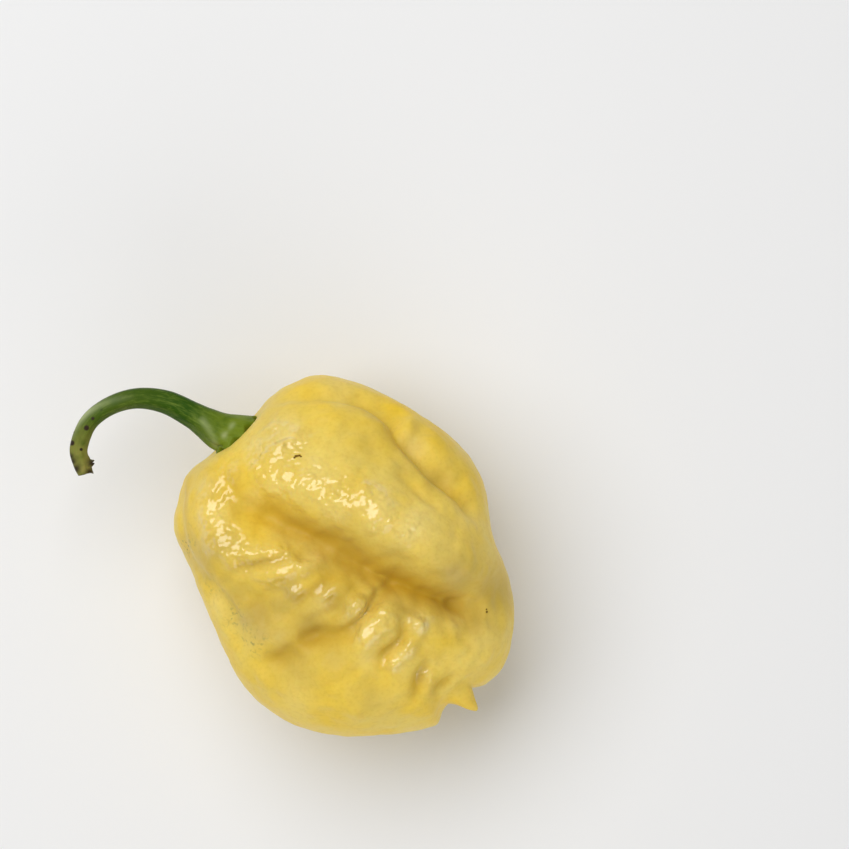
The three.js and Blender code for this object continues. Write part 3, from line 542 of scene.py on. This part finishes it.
# Bands of painted shade along the valley, the grooves and the crease: (x, y, strength, half width)
SHADE_BANDS = [
    # The bottom of the valley
    [(-6, 7.4, 0, 0.8), (-5, 7, 0.4, 1), (-2.3, 6, 0.7, 1.5), (0.8, 4.5, 1, 1.8), (5.2, 2.7, 1, 1.9),
     (8.2, 0.3, 0.8, 1.9), (11.7, -1.8, 0.8, 2.2), (14.8, -3.3, 1.1, 2), (17.9, -4.7, 1.2, 1.9),
     (21.2, -6.1, 1, 1.6), (23.2, -7, 0.6, 1.3), (24.6, -7.6, 0, 1)],
    # The faint line along the left edge
    [(-13.6, 11.8, 0, 0.4), (-14.5, 9.6, 0.5, 0.4), (-14.5, 5.4, 0.5, 0.4), (-13.8, 2.2, 0, 0.4)],
    # The groove along the lower side of the ribs
    [(14.4, -3.8, 0, 0.8), (12.9, -4.9, 0.5, 0.8), (10.9, -7.6, 0.6, 0.9), (8.6, -9.6, 0.7, 1.1),
     (7, -10.3, 0.8, 1.4), (3.9, -10.9, 0.8, 1.5), (1.6, -11.8, 0.8, 1.4), (-0.4, -13.2, 0.9, 1.4),
     (-2.3, -13.5, 0.9, 1.3), (-4.2, -13.8, 0, 1.2)],
    # Between the ribs, from the left
    [(-7.6, -1.4, 0, 0.6), (-6.6, -1.2, 0.7, 0.7), (-3.9, -0.6, 0.9, 0.8), (-1, -0.1, 0.7, 0.7),
     (1.8, 0.5, 0.4, 0.6), (3.2, 1.2, 0, 0.6)],
    [(-1.6, -3.7, 0, 0.6), (0.4, -3, 0.4, 0.7), (1.8, -2.5, 0.5, 0.7), (3.6, -1.5, 0.4, 0.7),
     (5.2, -0.4, 0, 0.7)],
    [(0.4, -6.4, 0, 0.6), (1.5, -5.4, 0.6, 0.7), (3.2, -4.3, 0.8, 0.8), (5, -2.9, 0.8, 0.8),
     (6.9, -1.6, 0, 0.7)],
    [(4.8, -7.6, 0, 0.6), (5.6, -6.7, 0.4, 0.7), (6.9, -5.4, 0.5, 0.7), (8.3, -4.1, 0.4, 0.7),
     (9.8, -2.7, 0, 0.7)],
    # The left side of the basin of ribs
    [(-7.4, -3.4, 0, 1.4), (-5.6, -5.4, 0.3, 1.6), (-3.6, -8, 0.4, 1.6), (-1.4, -10, 0, 1.4)],
    # The groove of the smaller fold
    [(15.6, -7.6, 0, 0.8), (15.4, -9.2, 0.4, 0.8), (15.4, -10.9, 0.5, 0.8), (13.9, -11.8, 0.5, 0.8),
     (12.9, -13, 0.4, 0.8), (12.7, -14.7, 0.3, 0.8), (12.8, -16, 0, 0.8)],
    # The small arcs above the tail
    [(19, -14.2, 0, 0.6), (18.5, -14.9, 0.6, 0.7), (17.6, -16.3, 1, 0.8), (17.1, -18.3, 0.8, 0.8),
     (17, -20.3, 0, 0.7)],
    [(22.4, -16.7, 0, 0.6), (21.2, -17.2, 0.5, 0.6), (20, -17.8, 0.7, 0.6), (19.4, -19, 0.4, 0.6),
     (19.2, -20, 0, 0.6)],
    # The right edge, and below the end of the valley
    [(26, -1.2, 0, 2), (27.4, -3, 0.35, 2.2), (28.4, -5.4, 0.3, 2.2), (28, -8, 0, 2)],
    [(18, -7.4, 0, 1.6), (21.4, -8.2, 0.35, 2), (25, -8.8, 0.35, 2.2), (28, -9, 0, 2)],
    # The crease between the roll and the rear lobe
    [(6.6, 20.9, 0, 0.6), (9.2, 20.7, 0.4, 0.7), (10.9, 19.8, 0.4, 0.7), (13.4, 17.1, 0.4, 0.7),
     (14.4, 15.6, 0.4, 0.7), (15.9, 14.3, 0.4, 0.7), (17.4, 12.7, 0.4, 0.7), (19.2, 10.8, 0.3, 0.8),
     (21.4, 9.2, 0.3, 0.8), (22.7, 7.5, 0.3, 0.8), (24.7, 5.6, 0, 0.7)],
    # The hollow below the calyx
    [(-7.6, 13, 0, 1.2), (-7.4, 11, 0.3, 1.4), (-7, 9, 0.3, 1.4), (-6, 7.5, 0, 1.2)],
]
# Where the top glitters, how little the rest is dimpled, and how level the skin is where it can glitter
GLOSS_PATCHES = [
    (-1.6, 10.8, 3.2, 0.8), (2.4, 10, 3.6, 0.8), (6.6, 8.4, 3.6, 0.8), (11, 8.4, 2.6, 0.8),
    (12.8, 5.8, 2.4, 0.8), (16, 4, 2, 0.9), (-8, 11.4, 1.8, 0.7), (-10.2, 8.6, 2.4, 1),
    (-10.6, 5.4, 2.4, 1), (-9.4, 2.8, 2.6, 1), (-6.4, 0.2, 2.4, 1), (-3.4, 0.5, 1.5, 1),
    (-0.6, 0.9, 1.4, 1), (-1.8, -1.8, 2.6, 0.7), (1.2, -0.8, 2, 0.6), (0.6, -4.2, 1.8, 0.5),
    (4.8, -4.6, 1.8, 0.5), (9.4, -6.6, 1.6, 0.9), (10.4, -10, 2, 0.8), (12.4, -7.6, 2, 0.8),
    (17.8, -8.7, 1.4, 1), (15.8, -12.4, 1.2, 0.9), (14, -14.4, 1.2, 0.9), (18.4, -16.2, 1.1, 0.9),
    (-0.4, 15.6, 3, 1), (-3.6, 14, 2.4, 0.9),
]
LEAST_DIMPLED = 0.04
LEVEL_ENOUGH = (0.25, 0.75)
# Shares of a brown mark's radius between which its edge softens
SPECK_EDGE = (0.5, 1.2)
# Small brown marks on the top, seen from above: (x, y, radius); the first five make up a crescent scar
SPECKS = [
    (0.77, 13.74, 0.2), (0.96, 13.96, 0.25), (1.19, 14.06, 0.26), (1.43, 14.02, 0.24), (1.64, 13.9, 0.18),
    (27.1, -7.6, 0.2), (27.05, -7.25, 0.14), (-14.6, 1.9, 0.16), (-14.2, 1.4, 0.2), (-14.45, 0.9, 0.16),
    (-13.9, 1.1, 0.12),
]


def patches(spots, grid):
    """How strongly the nearest spots mark each place seen from above: the largest of their bells, each
    strength * exp(-(distance / radius)^2), which fade out on the underside."""
    bells = [strength * np.exp(-((grid[..., 0] - x) ** 2 + (grid[..., 1] - y) ** 2) / radius**2)
             for x, y, radius, strength in spots]
    return np.max(bells, axis=0) * ease(*PATCH_FADE, grid[..., 2] - POD_CENTRE[2])


def fold_shade(grid):
    """How much painted shade darkens the skin, from 0 to 1: in the depths of the top's folds and along the
    bands of shade.
    """
    above = ease(*SHADE_FADE, grid[..., 2] - POD_CENTRE[2])
    depth = -fold_height(FOLDS_ABOVE, grid[..., 0], grid[..., 1])
    bands = fold_height(SHADE_BANDS, grid[..., 0], grid[..., 1])
    return above * np.clip(SHADE_OF_DEPTHS * ease(*SHADE_DEPTHS, depth) + SHADE_OF_BANDS * bands, 0, 1)


def dimpledness(grid, normal):
    """How finely dimpled the wax is, from 0 to 1: the flanks are smooth, and the top glitters in patches."""
    return ease(*LEVEL_ENOUGH, normal[..., 2]) * np.maximum(LEAST_DIMPLED, patches(GLOSS_PATCHES, grid))


def on_top(grid, marks):
    """Small marks of the top with the skin's height at each: (x, y, z, radius)."""
    places = grid[grid[..., 2] > POD_CENTRE[2]]
    nearest = [places[np.argmin(np.hypot(places[:, 0] - x, places[:, 1] - y))] for x, y, _ in marks]
    return [(x, y, place[2], radius) for (x, y, radius), place in zip(marks, nearest)]


def specks(tree, spots):
    """1 inside the nearest of some small round spots, given as (x, y, z, radius), and 0 outside them."""
    place = node(tree, "ShaderNodeTexCoord").outputs["Object"]
    total = None
    start, end = SPECK_EDGE
    for x, y, z, radius in spots:
        away = node(tree, "ShaderNodeVectorMath")
        away.operation = "DISTANCE"
        tree.links.new(place, away.inputs[0])
        away.inputs[1].default_value = (x * MM, y * MM, z * MM)
        inside = scaled(tree, away.outputs["Value"], start * radius * MM, end * radius * MM, 1.0, 0.0)
        total = inside if total is None else combined(tree, "MAXIMUM", total, inside)
    return total


def skin_colour(tree, speckled):
    """Pale yellow mottled with a deeper one, then the large patches, some of them painted shade and painted
    light, freckles, painted shade in the folds, the small brown marks and grey-green flecks, each mixed over
    what is there."""
    colour = mixed(tree, scattered(tree, *MOTTLING), PALE_YELLOW, DEEP_YELLOW)
    for name, _, paint in SKIN_PAINT:
        colour = mixed(tree, attribute(tree, name), colour, paint)
    colour = mixed(tree, scattered(tree, *FRECKLES), colour, FRECKLE_AND_SHADE_OCHRE)
    # Painted shade: the depths of the folds and the bands of shade turn the colour darker
    colour = mixed(tree, attribute(tree, "fold_shade"), colour, FRECKLE_AND_SHADE_OCHRE)
    colour = mixed(tree, speckled, colour, SPECK_BROWN)
    flecks = combined(tree, "MULTIPLY", scattered(tree, *FLECKS), attribute(tree, "flecks"))
    return mixed(tree, flecks, colour, FLECK_GREEN)


def skin_material(spots):
    """Waxy yellow skin over thick flesh: light spreads a little under it, and a clear wax glitters where it
    is dimpled, though not on the brown marks."""
    material, shader = plain_material("waxy_yellow_skin", PALE_YELLOW, SKIN_ROUGHNESS)
    tree = material.node_tree
    speckled = specks(tree, spots)
    tree.links.new(skin_colour(tree, speckled), shader.inputs["Base Color"])
    relief = combined(tree, "MULTIPLY", noise(tree, DIMPLE_SIZE, DIMPLE_DETAIL), attribute(tree, "dimples"))
    dimples = node(tree, "ShaderNodeBump", Height=relief, Distance=DIMPLE_DEPTH * MM, Strength=1.0)
    tree.links.new(dimples.outputs["Normal"], shader.inputs["Normal"])
    tree.links.new(dimples.outputs["Normal"], shader.inputs["Coat Normal"])
    waxed = scaled(tree, attribute(tree, "dimples"), *WAXED, LEAST_WAX, 1.0)
    unspeckled = scaled(tree, speckled, 0.0, 0.5, 1.0, 0.0)
    tree.links.new(combined(tree, "MULTIPLY", waxed, unspeckled), shader.inputs["Coat Weight"])
    shader.inputs["Coat IOR"].default_value = WAX_IOR
    shader.inputs["Coat Roughness"].default_value = WAX_ROUGHNESS
    shader.inputs["Subsurface Weight"].default_value = FLESH_WEIGHT
    shader.inputs["Subsurface Radius"].default_value = FLESH_SPREAD
    shader.inputs["Subsurface Scale"].default_value = MM
    shader.inputs["Sheen Weight"].default_value = DOWN_WEIGHT
    shader.inputs["Sheen Roughness"].default_value = DOWN_ROUGHNESS
    shader.inputs["Sheen Tint"].default_value = DOWN_TINT
    shader.inputs["Specular IOR Level"].default_value = SKIN_SHINE
    return material


def make_pod():
    """The pod's skin with its fine bumps laid along the normals, smaller on its steep sides."""
    direction = pod_directions(POD_ROWS, POD_COLUMNS)
    grid = skin_points(direction)
    normal = grid_normals(grid)
    bump = sum(height * ripples(grid, length, BUMP_WAVES, seed)
               for seed, (length, height) in enumerate(SKIN_BUMPS))
    bump *= ease(0.0, BUMP_LEAD_IN, grid[..., 2])
    bump *= STEEP_BUMPS + (1 - STEEP_BUMPS) * ease(*BUMPS_FULL, np.abs(normal[..., 2]))
    relief = grid + normal * bump[..., None]
    first = skin_points(TO_TAIL[None])[0]
    last = skin_points(-TO_TAIL[None])[0]
    marks = {name: patches(places, grid) for name, places, _ in SKIN_PAINT}
    marks["flecks"] = patches(FLECK_PATCHES, grid)
    marks["fold_shade"] = fold_shade(grid)
    marks["dimples"] = dimpledness(grid, normal)
    with_ends = {name: ([0.0], values, [0.0]) for name, values in marks.items()}
    pod = closed_mesh("pod_skin", first, relief, last, with_ends)
    pod.data.materials.append(skin_material(on_top(relief, SPECKS)))
    return pod


# The stalk's mesh: points round it, and steps between the points of its centre line
STALK_SIDES = 96
STALK_STEPS = 20
# The calyx's underside and its rounded rim: (share of the radius, lift off the skin); the rim starts here
CALYX_FOOT = [(0.4, -0.3), (0.9, -0.2), (1.0, 0.0), (1.05, 0.25), (1.05, 0.5), (0.99, 0.75)]
CALYX_RIM_START = 0.95
# The torn end: how far its edge runs out unevenly, (waves, reach, turn of the first), and the scrap of skin
# that sticks out to its right, with its turn, width, reach, place along the stalk, length and notches
TORN_WAVES = [(1, 0.55, 0.6), (2, 0.12, 2.0), (5, 0.07, 1.0), (9, 0.05, 4.0)]
SCRAP_TURN, SCRAP_WIDTH, SCRAP_REACH = 6.15, 0.5, 0.85
SCRAP_START, SCRAP_LENGTH = 1.1, 0.7
SCRAP_NOTCHES, SCRAP_NOTCH_DEPTH = 9, 0.25

# The stalk's greens, with a pale green for painted highlights, and the brown where it is dry
YELLOW_GREEN = (0.15, 0.21, 0.012)
NECK_GREEN = (0.028, 0.082, 0.002)
STALK_GREEN = (0.06, 0.105, 0.006)
PALE_GREEN = (0.20, 0.28, 0.04)
HIGHLIGHT_GREEN = (0.47, 0.53, 0.27)
END_GREEN = (0.33, 0.3, 0.07)
DRY_BROWN = (0.035, 0.022, 0.012)
# How the calyx's yellow-green turns into the others along the stalk: (share of its length where the change
# starts, where it ends, the green after it)
GREENS_ALONG = [(0.04, 0.24, NECK_GREEN), (0.3, 0.55, STALK_GREEN), (0.72, 0.98, END_GREEN)]
# Small dark spots near the torn end, seen from above: (x, y, radius, strength)
STALK_SPOTS = [
    (-28.5, 17.8, 0.4, 1), (-27.6, 19.1, 0.3, 0.8), (-30.6, 15.7, 0.4, 1), (-29.3, 14.8, 0.25, 0.9),
    (-26.4, 20.3, 0.2, 0.6), (-30.3, 17.2, 0.2, 0.5),
]
# Painted highlights, pale streaks round the stalk's upper bend and on the calyx: (x, y, strength, half width)
STALK_HIGHLIGHTS = [
    [(-30.6, 15.6, 0, 0.35), (-30.4, 17.2, 0.3, 0.45), (-29.7, 18.6, 0.6, 0.5), (-28.5, 19.9, 0.7, 0.5),
     (-26.9, 20.9, 0.4, 0.5), (-24.8, 21.7, 0.2, 0.5), (-21.5, 22.3, 0, 0.4)],
    [(-12.9, 19.4, 0, 0.5), (-12.2, 18.6, 0.3, 0.5), (-11, 16.6, 0.2, 0.5), (-10.6, 15.4, 0.35, 0.5),
     (-10.2, 14.8, 0, 0.4)],
    [(-9.8, 16.3, 0, 0.35), (-9.3, 16.8, 0.5, 0.4), (-8.8, 17.4, 0.1, 0.3), (-8.3, 18.1, 0.4, 0.35),
     (-7.7, 18.7, 0, 0.3)],
]
# Where the skin has dried brown: the edge on the stalk's outer side, and the scrap
BROWN_SPOTS = [
    (-30.8, 13.8, 0.5, 0.9), (-30.6, 13.1, 0.6, 1), (-30.1, 12.1, 0.7, 1), (-27.9, 12.9, 0.8, 1),
    (-28.2, 11.6, 0.7, 1),
]
# How brown the torn edge is, and the share of the length where it starts
TORN_BROWN, TORN_START = 0.6, 0.985
# The fibres: how far their streaks are drawn out, how fine, how deep in millimetres, and their noise; then
# blotches scattered by noise, the soft edge of the spots, and the finish
FIBRE_STRETCH, FIBRE_FINENESS, FIBRE_DEPTH = 3.0, 4.4, 0.12
FIBRE_DETAIL, FIBRE_CONTRAST, FIBRE_STREAKS = 5.0, 0.75, (0.48, 0.7, 0.0, 0.6)
BLOTCHES = (1.6, 3.0, 0.5, 0.75, 0.5)
SPOT_EDGE = (0.25, 0.6)
STALK_ROUGHNESS, STALK_SHINE = 0.38, 0.08


def stalk_material():
    """Satin green, streaked along the stalk: yellow-green on the calyx, dark at the neck, paler towards the
    end, with painted highlights on its upper bend and the calyx, dark spots and a dry brown edge where it was
    torn."""
    material, shader = plain_material("stalk_green", STALK_GREEN, STALK_ROUGHNESS)
    tree = material.node_tree
    fibre = node(tree, "ShaderNodeCombineXYZ", X=attribute(tree, "fibre_x"), Y=attribute(tree, "fibre_y"),
                 Z=attribute(tree, "fibre_z")).outputs["Vector"]
    streaks = node(tree, "ShaderNodeTexNoise", Vector=fibre, Scale=FIBRE_FINENESS, Detail=FIBRE_DETAIL,
                   Roughness=FIBRE_CONTRAST).outputs["Fac"]
    colour = YELLOW_GREEN
    for start, end, green in GREENS_ALONG:
        colour = mixed(tree, scaled(tree, attribute(tree, "along"), start, end), colour, green)
    colour = mixed(tree, scaled(tree, streaks, *FIBRE_STREAKS), colour, PALE_GREEN)
    colour = mixed(tree, scattered(tree, *BLOTCHES), colour, NECK_GREEN)
    # Painted highlights along the stalk's upper bend and on the calyx
    colour = mixed(tree, attribute(tree, "painted_highlight"), colour, HIGHLIGHT_GREEN)
    colour = mixed(tree, scaled(tree, attribute(tree, "spots"), *SPOT_EDGE), colour, DRY_BROWN)
    colour = mixed(tree, attribute(tree, "browning"), colour, DRY_BROWN)
    tree.links.new(colour, shader.inputs["Base Color"])
    ridges = node(tree, "ShaderNodeBump", Height=streaks, Distance=FIBRE_DEPTH * MM, Strength=1.0)
    tree.links.new(ridges.outputs["Normal"], shader.inputs["Normal"])
    shader.inputs["Specular IOR Level"].default_value = STALK_SHINE
    return material


def foot_points(radius, turn, lift):
    """Points of the pod's skin at a distance from the calyx's axis and a turn round it, each raised along the
    axis by its lift."""
    spread = radius / CALYX_DISTANCE
    direction = np.cos(spread)[..., None] * TO_CALYX + np.sin(spread)[..., None] * ring_round(TO_CALYX, turn)
    return skin_points(direction) + np.reshape(lift, (-1, 1)) * TO_CALYX


def calyx_rings(turn):
    """The calyx's underside and rim: rings on the pod's skin, whose radius and lift wave round it by
    cos(lobes * turn)."""
    lobes = np.cos(CALYX_LOBES * (turn - CALYX_LOBE_TURN))
    rim = CALYX_RADIUS * (1 + CALYX_WAVINESS * lobes)
    return [foot_points(rim * share, turn, lift - CALYX_SCALLOP * lobes * (share > CALYX_RIM_START))
            for share, lift in CALYX_FOOT]


def scrap_reach(turn, left):
    """How far the scrap of skin sticks out at a length from the torn end: a bell round the stalk, times a
    notched bell along it."""
    from_scrap = (turn - SCRAP_TURN + math.pi) % (2 * math.pi) - math.pi
    along = SCRAP_REACH * math.exp(-(((left - SCRAP_START) / SCRAP_LENGTH) ** 2))
    notched = 1 - SCRAP_NOTCH_DEPTH + SCRAP_NOTCH_DEPTH * math.cos(SCRAP_NOTCHES * left)
    return along * notched * np.exp(-((from_scrap / SCRAP_WIDTH) ** 2))


def make_stalk():
    """Rings carried along the stalk's centre line. Near the pod they keep the shape of the calyx's rim, which
    follows the skin, and further on they are round with five faint ribs, up to the uneven torn end."""
    turn = np.arange(STALK_SIDES) / STALK_SIDES * 2 * math.pi
    rings = calyx_rings(turn)
    edge = rings[-1]
    foot = edge.mean(0)
    line = through_points([(*foot, CALYX_RADIUS), *STALK], STALK_STEPS)
    centre, radius = line[:, :3], line[:, 3]
    forward = unit(np.gradient(centre, axis=0))
    left = np.append(np.cumsum(np.linalg.norm(np.diff(centre, axis=0), axis=1)[::-1])[::-1], 0)
    side1 = ring_round(TO_CALYX, np.zeros(1))[0]
    for i in range(1, len(line)):
        side1 = unit(side1 - forward[i] * (side1 @ forward[i]))
        side2 = np.cross(forward[i], side1)
        ribbed = radius[i] * (1 + STALK_RIB * np.cos(STALK_RIBS * turn)) + scrap_reach(turn, left[i])
        round_ring = (ribbed * np.cos(turn))[:, None] * side1 + (ribbed * np.sin(turn))[:, None] * side2
        flared = (edge - foot) * (radius[i] / CALYX_RADIUS)
        like_foot = max(0.0, 1 - np.linalg.norm(centre[i] - foot) / CALYX_HEIGHT) ** 2
        rings.append(centre[i] + round_ring * (1 - like_foot) + flared * like_foot)
    torn = sum(reach * np.cos(count * turn + start) for count, reach, start in TORN_WAVES)
    rings[-1] = rings[-1] + torn[:, None] * forward[-1]
    grid = np.array(rings)
    first = foot_points(np.zeros(1), np.zeros(1), CALYX_FOOT[0][1])[0]
    last = centre[-1] + TORN_END
    along = np.concatenate([np.zeros(len(CALYX_FOOT)), 1 - left[1:] / left[0]])
    along = np.repeat(along[:, None], STALK_SIDES, axis=1)
    dried = np.maximum(TORN_BROWN * ease(TORN_START, 1.0, along), patches(BROWN_SPOTS, grid))
    marks = {
        "along": ([0.0], along, [1.0]),
        "browning": ([0.0], dried, [1.0]),
        "spots": ([0.0], patches(STALK_SPOTS, grid), [0.0]),
        "painted_highlight": ([0.0], fold_height(STALK_HIGHLIGHTS, grid[..., 0], grid[..., 1]), [0.0]),
        "fibre_x": ([0.0], np.cos(turn) + 0 * along, [0.0]),
        "fibre_y": ([0.0], np.sin(turn) + 0 * along, [0.0]),
        "fibre_z": ([0.0], along * FIBRE_STRETCH, [0.0]),
    }
    stalk = closed_mesh("stalk_green", first, grid, last, marks)
    stalk.data.materials.append(stalk_material())
    return stalk


# The studio: a plain pale floor, even light from all round, and three soft lights
FLOOR_HALF_SIDE = 3.0
FLOOR_WHITE = (0.86, 0.86, 0.86)
FLOOR_ROUGHNESS = 0.9
WORLD_STRENGTH = 0.33
# The place that the lights are turned to, in metres
LIGHTS_AIM = np.array([0.007, 0.0, 0.018])
# Each light: (name, place in metres, width, height, power in watts)
LIGHTS = [
    ("softbox", (-0.02, 0.0, 0.66), 1.1, 1.1, 0.32),
    ("key", (-0.2, 0.2, 0.56), 0.85, 0.46, 2.95),
    ("fill", (0.25, -0.48, 0.17), 0.6, 0.6, 1.15),
]
# The camera looks straight down, and frames the photograph's whole square: the pepper's box there has its
# middle 292.5 pixels from the left and 555 from the top, at 0.14 mm to the pixel
PHOTO_SIDE = 849
MM_PER_PIXEL = 0.14
BOX_MIDDLE_PIXEL = (292.5, 555.0)
CAMERA_DISTANCE = 0.55
CAMERA_AIM_HEIGHT = 0.018
SENSOR_WIDTH = 36


def make_floor():
    """A level square under the pepper, far wider than the camera sees."""
    mesh = bpy.data.meshes.new("floor")
    corners = [(-1, -1), (1, -1), (1, 1), (-1, 1)]
    places = [(x * FLOOR_HALF_SIDE, y * FLOOR_HALF_SIDE, 0) for x, y in corners]
    mesh.from_pydata(places, [], [(0, 1, 2, 3)])
    floor = bpy.data.objects.new("floor", mesh)
    bpy.context.scene.collection.objects.link(floor)
    floor.data.materials.append(plain_material("pale_floor", FLOOR_WHITE, FLOOR_ROUGHNESS)[0])


def make_camera():
    """A camera over the middle of the photograph's square, with a lens that just takes the square in."""
    data = bpy.data.cameras.new("camera")
    camera = bpy.data.objects.new("camera", data)
    bpy.context.scene.collection.objects.link(camera)
    data.sensor_width = SENSOR_WIDTH
    data.lens = SENSOR_WIDTH * CAMERA_DISTANCE / (PHOTO_SIDE * MM_PER_PIXEL * MM)
    x = (PHOTO_SIDE / 2 - BOX_MIDDLE_PIXEL[0]) * MM_PER_PIXEL * MM
    y = (BOX_MIDDLE_PIXEL[1] - PHOTO_SIDE / 2) * MM_PER_PIXEL * MM
    camera.location = (x, y, CAMERA_AIM_HEIGHT + CAMERA_DISTANCE)
    bpy.context.scene.camera = camera


def make_light(name, location, width, height, power):
    """A soft oval light turned towards the pod."""
    data = bpy.data.lights.new(name, "AREA")
    data.shape = "ELLIPSE"
    data.size = width
    data.size_y = height
    data.energy = power
    light = bpy.data.objects.new(name, data)
    light.location = location
    light.rotation_euler = Vector(LIGHTS_AIM - np.array(location)).to_track_quat("-Z", "Y").to_euler()
    bpy.context.scene.collection.objects.link(light)


def make_world():
    """Even white light from all round."""
    world = bpy.data.worlds.new("studio")
    world.use_nodes = True
    background = world.node_tree.nodes["Background"]
    background.inputs["Color"].default_value = (1, 1, 1, 1)
    background.inputs["Strength"].default_value = WORLD_STRENGTH
    bpy.context.scene.world = world


bpy.context.scene.view_settings.view_transform = "Standard"
make_camera()
make_world()
make_floor()
for light in LIGHTS:
    make_light(*light)

pod = make_pod()
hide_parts("pod")
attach(pod, "root")

stalk = make_stalk()
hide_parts("stalk")
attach(stalk, "root")
